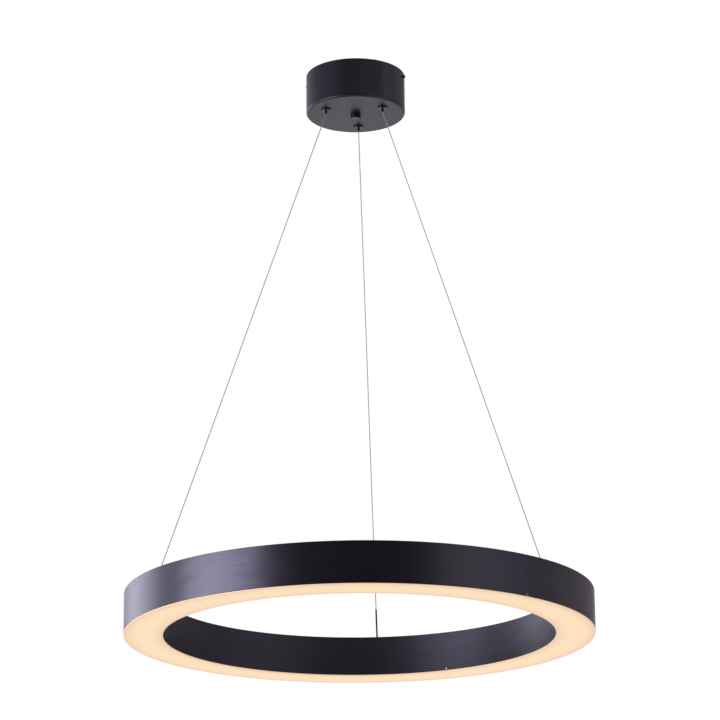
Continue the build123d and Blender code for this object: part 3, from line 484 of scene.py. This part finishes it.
ringShape = {"wall": 1.4 * mm, "web": 2.0 * mm, "ribHeight": 9.0 * mm, "rib": 1.5 * mm,
             "ribReach": 2.6 * mm, "edge": 0.35 * mm, "topEdge": 0.5 * mm, "inside": 0.2 * mm,
             "segments": 384}


def makeRing():
    # rolled channel, open below: one outline with small radii carried round the axis
    inner, outer = measured("ring_housing")
    low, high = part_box("ring_housing")[0].z, ringHigh.z
    near, far = inner + ringShape["wall"], outer - ringShape["wall"]
    nearRib, farRib = near + ringShape["ribReach"], far - ringShape["ribReach"]
    ribLow = ringLow.z + ringShape["ribHeight"]
    ribHigh = ribLow + ringShape["rib"]
    web = high - ringShape["web"]
    corners = [(outer, low), (outer, high), (inner, high), (inner, low),
               (near, low), (near, ribLow), (nearRib, ribLow), (nearRib, ribHigh), (near, ribHigh),
               (near, web), (far, web),
               (far, ribHigh), (farRib, ribHigh), (farRib, ribLow), (far, ribLow), (far, low)]
    edge, topEdge, inside = ringShape["edge"], ringShape["topEdge"], ringShape["inside"]
    profile = roundedLoop(corners, [edge, topEdge, topEdge, edge, edge] + 10 * [inside] + [edge])
    makePiece("ringShell", [turned(profile, ringShape["segments"])], True, True, "ring", "ring_paint",
              "ring_housing")


diffuserShape = {"face": 1.0 * mm, "rim": 1.7 * mm, "flange": 1.6 * mm, "edge": 0.35 * mm,
                 "inside": 0.15 * mm, "segments": 384}


def makeDiffuser():
    # moulded tray: a flat face whose rims cover the walls' ends, and a flange inside each wall
    low, high = (corner.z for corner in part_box("diffuser"))
    face, flange = low + diffuserShape["face"], diffuserShape["flange"]
    inner, outer = diffuserInner, diffuserOuter
    near, far = inner + diffuserShape["rim"], outer - diffuserShape["rim"]
    corners = [(inner, low), (outer, low), (outer, face), (far, face), (far, high), (far - flange, high),
               (far - flange, face), (near + flange, face), (near + flange, high), (near, high),
               (near, face), (inner, face)]
    profile = roundedLoop(corners, 2 * [diffuserShape["edge"]] + 10 * [diffuserShape["inside"]])
    makePiece("opalDiffuser", [turned(profile, diffuserShape["segments"])], True, True, "ring",
              "opal_acrylic", "diffuser")


makeRing()
makeDiffuser()
print("ring and diffuser done")


canopyShape = {"wall": 1.2 * mm, "bottomEdge": 2.8 * mm, "inside": 0.8 * mm, "rim": 0.4 * mm, "steps": 7,
               "segments": 256}


def makeCanopy():
    # spun drum, open at the ceiling: a profile from the axis and back to it, carried round
    low, high = (corner.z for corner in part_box("canopy_cover"))
    outer = measured("canopy_cover")[1]
    inner, floor = outer - canopyShape["wall"], low + canopyShape["wall"]
    radii = [canopyShape[k] for k in ("bottomEdge", "rim", "rim", "inside")]
    corners = [(outer, low), (outer, high), (inner, high), (inner, floor)]
    profile = lathed([(0, low)], corners, radii, canopyShape["steps"])
    makePiece("canopyDrum", [turned(profile, canopyShape["segments"])], True, False, "canopy",
              "canopy_paint", "canopy_cover")


capShape = {"height": 6.6 * mm, "cap": 6.8 * mm, "stud": 4.0 * mm, "edge": 0.5 * mm, "small": 0.3 * mm,
            "underHead": 0.1 * mm, "dish": 0.1 * mm, "dishFloor": 0.72, "dishRim": 0.78, "steps": 6,
            "segments": 96}


def makeCap():
    # turned cap with a faintly dished face, and the stud it carries through the canopy
    low, high = (corner.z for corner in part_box("centre_cap"))
    level, dish = low + capShape["height"], low + capShape["dish"]
    cap, stud = capShape["cap"], capShape["stud"]
    face = [(0, dish), (capShape["dishFloor"] * cap, dish), (capShape["dishRim"] * cap, low)]
    radii = [capShape[k] for k in ("edge", "small", "underHead", "small")]
    corners = [(cap, low), (cap, level), (stud, level), (stud, high)]
    profile = lathed(face, corners, radii, capShape["steps"])
    makePiece("centreCap", [turned(profile, capShape["segments"])], True, False, "canopy",
              "black_metal", "centre_cap")


makeCanopy()
makeCap()
print("canopy and cap done")


# millimetres out from a gripper's axis and up from the canopy's underside
gripperShape = {"flange": 6.4, "flangeDrop": 2.0, "barrel": 5.0, "bore": 3.8, "guide": 1.85,
                "guideTop": 2.0, "narrow": 2.4, "coneLow": 3.5, "wide": 3.06, "coneTop": 8.2,
                "edge": 0.45, "small": 0.12, "support": 0.05, "segments": 72}
nozzleShape = {"radius": 1.75, "bore": 0.85, "shoulder": 2.3, "tip": 0.5, "mouth": 0.2, "small": 0.1,
               "support": 0.05, "steps": 6, "segments": 48}
coil = {"turns": 5, "endTurns": 0.5, "wireMm": 0.45, "stepsPerTurn": 40, "pointsAround": 12}
nozzleBoxes = [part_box(f"gripper_nozzle_{number}") for number in wireNumbers]
gripperAxes = [((low.x + high.x) / 2, (low.y + high.y) / 2) for low, high in nozzleBoxes]
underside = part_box("canopy_cover")[0].z


def upFrom(level, points):
    # millimetre corners (out, up) as metres, with up counted from a level
    return np.array(points, float) * mm + (0, level)


def makeGrippers():
    # flange below the canopy, barrel above it, and inside it the cone the jaws wedge into;
    # the one outline is carried round each of the three axes
    top = (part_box("gripper_bodies")[1].z - underside) / mm
    g = gripperShape
    corners = [(g["guide"], -g["flangeDrop"]), (g["flange"], -g["flangeDrop"]), (g["flange"], 0),
               (g["barrel"], 0), (g["barrel"], top), (g["bore"], top), (g["bore"], g["coneTop"]),
               (g["wide"], g["coneTop"]), (g["narrow"], g["coneLow"]), (g["narrow"], g["guideTop"]),
               (g["guide"], g["guideTop"])]
    radii = np.array([g["small"], g["edge"]] + 9 * [g["small"]]) * mm
    profile = roundedLoop(upFrom(underside, corners), radii, support=g["support"] * mm)
    grids = [turned(profile, g["segments"], axis) for axis in gripperAxes]
    makePiece("gripperShells", grids, True, True, "canopy", "black_metal", "gripper_bodies")


def makeNozzle(number):
    # the button under a gripper: a tube with a rounded tip, and the shoulder that lifts the jaws
    low, high = nozzleBoxes[number - 1]
    n = nozzleShape
    tip, top = (low.z - underside) / mm, (high.z - underside) / mm
    wide = (high.x - low.x) / 2 / mm
    corners = [(n["bore"], tip), (n["radius"], tip), (n["radius"], n["shoulder"]), (wide, n["shoulder"]),
               (wide, top), (n["bore"], top)]
    radii = np.array([n["mouth"], n["tip"]] + 4 * [n["small"]]) * mm
    profile = roundedLoop(upFrom(underside, corners), radii, n["steps"], n["support"] * mm)
    grid = turned(profile, n["segments"], gripperAxes[number - 1])
    makePiece(f"gripperNozzle{number}", [grid], True, True, f"release_{number}", "black_metal",
              f"gripper_nozzle_{number}")


def makeSpring(number):
    # helix of round wire: the climb per turn eases from closed end turns to open middle ones,
    # and the rise is the running sum of the climb
    node = f"gripper_spring_{number}"
    low, high = (corner.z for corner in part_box(node))
    axis = gripperAxes[number - 1]
    wire = coil["wireMm"] * mm / 2
    reach = measured(node, axis)[1] - wire
    turns = coil["turns"]
    turn = np.linspace(0, turns, turns * coil["stepsPerTurn"] + 1)
    fromEnd = np.clip(np.minimum(turn, turns - turn) - coil["endTurns"], 0, 1)
    opening = fromEnd**2 * (3 - 2 * fromEnd)
    height = high - low - 2 * wire
    climb = 2 * wire + (height / turns - 2 * wire) / opening.mean() * opening
    rise = np.concatenate([[0], np.cumsum((climb[1:] + climb[:-1]) / 2)])
    rise *= height / rise[-1]
    angle = 2 * np.pi * turn
    radial = np.stack([np.cos(angle), np.sin(angle), np.zeros_like(angle)], -1)
    along = np.stack([-reach * np.sin(angle), reach * np.cos(angle), climb / (2 * np.pi)], -1)
    along /= np.linalg.norm(along, axis=1, keepdims=True)
    across = np.cross(radial, along)
    middle = reach * radial + np.stack([np.full_like(rise, axis[0]), np.full_like(rise, axis[1]),
                                        low + wire + rise], -1)
    around = (np.arange(coil["pointsAround"]) * 2 * np.pi / coil["pointsAround"])[None, :, None]
    tube = middle[:, None] + wire * (np.cos(around) * radial[:, None] + np.sin(around) * across[:, None])
    spring = makePiece(f"gripperSpring{number}", [capped(tube)], False, True, "canopy", "spring_steel",
                       node)
    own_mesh(spring)


makeGrippers()
for number in wireNumbers:
    makeNozzle(number)
    makeSpring(number)
print("grippers done")


# millimetres out from a hanger's axis and down from the top of its head
bushShape = {"bore": 0.85, "stud": 4.0, "head": 5.5, "headHeight": 3.0, "crown": 0.9, "small": 0.2,
             "mouth": 0.3, "studEdge": 0.4, "hidden": 0.1, "support": 0.1, "steps": 6, "segments": 64}


def makeBushes():
    # turned bush with a softly crowned head; the hangers stand on the wires' radial lines
    low, high = (corner.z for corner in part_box("hanger_bushes"))
    b = bushShape
    foot = (low - high) / mm
    corners = [(b["bore"], foot), (b["stud"], foot), (b["stud"], -b["headHeight"]),
               (b["head"], -b["headHeight"]), (b["head"], 0), (b["bore"], 0)]
    radii = np.array([b[k] for k in ("hidden", "studEdge", "hidden", "small", "crown", "mouth")]) * mm
    profile = roundedLoop(upFrom(high, corners), radii, b["steps"], b["support"] * mm)
    ringMiddle = sum(measured("ring_housing")) / 2
    places = [(x * ringMiddle / math.hypot(x, y), y * ringMiddle / math.hypot(x, y))
              for x, y in gripperAxes]
    grids = [turned(profile, b["segments"], place) for place in places]
    makePiece("hangerBushes", grids, True, True, "ring", "black_metal", "hanger_bushes")


makeBushes()
print("bushes done")


# the floor lies far enough down that views from below have it behind them
stageValues = {"floorDrop": 5.8, "floorSize": 90.0, "floor": "#f5f3f6", "floorRoughness": 0.8,
               "worldDiffuse": 0.9, "worldGlossy": "#efeaff", "glossyGain": 1.12}


def makeWorld():
    # white to the camera, faintly lilac in reflections, a little lower as light on the object
    world = bpy.data.worlds.new("studio")
    bpy.context.scene.world = world
    world.use_nodes = True
    tree = world.node_tree
    tree.nodes.clear()
    path = addNode(tree, "ShaderNodeLightPath")
    seen = addNode(tree, "ShaderNodeMath", operation="MAXIMUM",
                   links={0: path.outputs["Is Camera Ray"], 1: path.outputs["Is Glossy Ray"]})
    direct = addNode(tree, "ShaderNodeMath", operation="MAXIMUM",
                     links={0: seen.outputs["Value"], 1: path.outputs["Is Transmission Ray"]})
    level = addNode(tree, "ShaderNodeMapRange", links={"Value": direct.outputs["Value"]},
                    values={"To Min": stageValues["worldDiffuse"], "To Max": 1.0})
    lilac = [part * stageValues["glossyGain"] for part in hexColour(stageValues["worldGlossy"])]
    tone = addNode(tree, "ShaderNodeMix", data_type="RGBA", values={"A": (1, 1, 1, 1), "B": lilac},
                   links={"Factor": path.outputs["Is Glossy Ray"]})
    white = addNode(tree, "ShaderNodeBackground",
                    links={"Color": tone.outputs["Result"], "Strength": level.outputs["Result"]})
    addNode(tree, "ShaderNodeOutputWorld", links={"Surface": white.outputs["Background"]})


def addStaged(name, points, faces, finish, colour, roughness):
    # a plain surface that belongs to the set and not to the object
    material, _, shader, _ = startMaterial(finish)
    shader.inputs["Base Color"].default_value = hexColour(colour)
    shader.inputs["Roughness"].default_value = roughness
    mesh = bpy.data.meshes.new(name)
    mesh.from_pydata(points, [], faces)
    mesh.materials.append(material)
    piece = bpy.data.objects.new(name, mesh)
    bpy.context.scene.collection.objects.link(piece)
    return piece


def makeFloor():
    # a level square
    half, drop = stageValues["floorSize"] / 2, stageValues["floorDrop"]
    corners = [(-half, -half, -drop), (half, -half, -drop), (half, half, -drop), (-half, half, -drop)]
    addStaged("floor", corners, [(0, 1, 2, 3)], "palePaintedFloor", stageValues["floor"],
              stageValues["floorRoughness"])


# felt screens round the set that only reflections see: azimuths from the camera's. The dark
# one stands behind the camera, grey ones to the right and high up, a pale one far left
sideScreen = {"radius": 4.6, "low": -1.6, "high": 3.2}
highScreen = {"radius": 4.2, "low": 0.9, "high": 4.5}
screens = {
    "darkScreen": {"span": (-40.0, 34.0), "radius": 4.6, "low": -2.3, "high": 4.5, "colour": "#08080a"},
    "greyScreen": dict(sideScreen, span=(84.0, 124.0), colour="#b9b2b8"),
    "farScreen": dict(sideScreen, span=(124.0, 159.0), colour="#a0979c"),
    "paleScreen": dict(sideScreen, span=(-180.0, -142.0), colour="#f2f2ff"),
    "highScreenMiddle": dict(highScreen, span=(-41.0, 34.0), low=1.15, colour="#98959b"),
    "highScreenLeft": dict(highScreen, span=(-178.0, -41.0), colour="#c8c5d0"),
    "highScreenRight": dict(highScreen, span=(34.0, 68.0), colour="#4e4a52"),
}


def makeScreen(name, look, count=24):
    # a strip of a cylinder about the ring's axis
    angle = cameraTurn + np.radians(np.linspace(*look["span"], count))
    rim = np.stack([np.sin(angle), -np.cos(angle)], -1) * look["radius"]
    grid = np.stack([np.hstack([rim, np.full((count, 1), z)]) for z in (look["low"], look["high"])])
    index = np.arange(2 * count).reshape(2, count)
    faces = np.stack([index[0, :-1], index[0, 1:], index[1, 1:], index[1, :-1]], -1)
    screen = addStaged(name, grid.reshape(-1, 3).tolist(), faces.tolist(), name + "Felt",
                       look["colour"], roughness=1.0)
    screen.visible_camera = False
    screen.visible_diffuse = False
    screen.visible_shadow = False


# soft boxes: azimuth from the camera's, distance and height of the middle, size and power.
# The left one is round at its ends, so that its reflection in the ring fades out softly
lamps = {
    "leftBox": {"azimuth": -63.4, "distance": 1.25, "height": -0.56, "size": (0.86, 0.46), "power": 12.3,
                "colour": "#edecff", "shape": "ELLIPSE"},
    "backBox": {"azimuth": -127.5, "distance": 3.2, "height": -0.1, "size": (1.75, 1.2), "power": 20.0,
                "colour": "#e9e9ff", "shape": "RECTANGLE"},
    "rightBox": {"azimuth": 52.0, "distance": 3.0, "height": -0.1, "size": (1.3, 1.2), "power": 4.0,
                 "colour": "#fff1e4", "shape": "RECTANGLE"},
    "topBox": {"azimuth": 40.0, "distance": 1.6, "height": 2.6, "size": (2.5, 2.5), "power": 38.0,
               "colour": "#ffffff", "shape": "RECTANGLE"},
}


def makeLamp(name, lamp):
    # an area light aimed at the middle of the drop, unseen by the camera
    data = bpy.data.lights.new(name, "AREA")
    data.shape = lamp["shape"]
    data.size, data.size_y = lamp["size"]
    data.energy = lamp["power"]
    data.color = hexColour(lamp["colour"])[:3]
    angle = cameraTurn + math.radians(lamp["azimuth"])
    reach = lamp["distance"]
    place = Vector((math.sin(angle) * reach, -math.cos(angle) * reach, lamp["height"]))
    aim = Vector((0, 0, ringHigh.z / 2))
    facing = (aim - place).to_track_quat("-Z", "Y").to_matrix().to_4x4()
    light = bpy.data.objects.new(name, data)
    light.matrix_world = Matrix.Translation(place) @ facing
    light.visible_camera = False
    bpy.context.scene.collection.objects.link(light)


makeWorld()
makeFloor()
for name, look in screens.items():
    makeScreen(name, look)
for name, lamp in lamps.items():
    makeLamp(name, lamp)
bpy.context.scene.view_settings.view_transform = "Standard"
print("stage and light done")
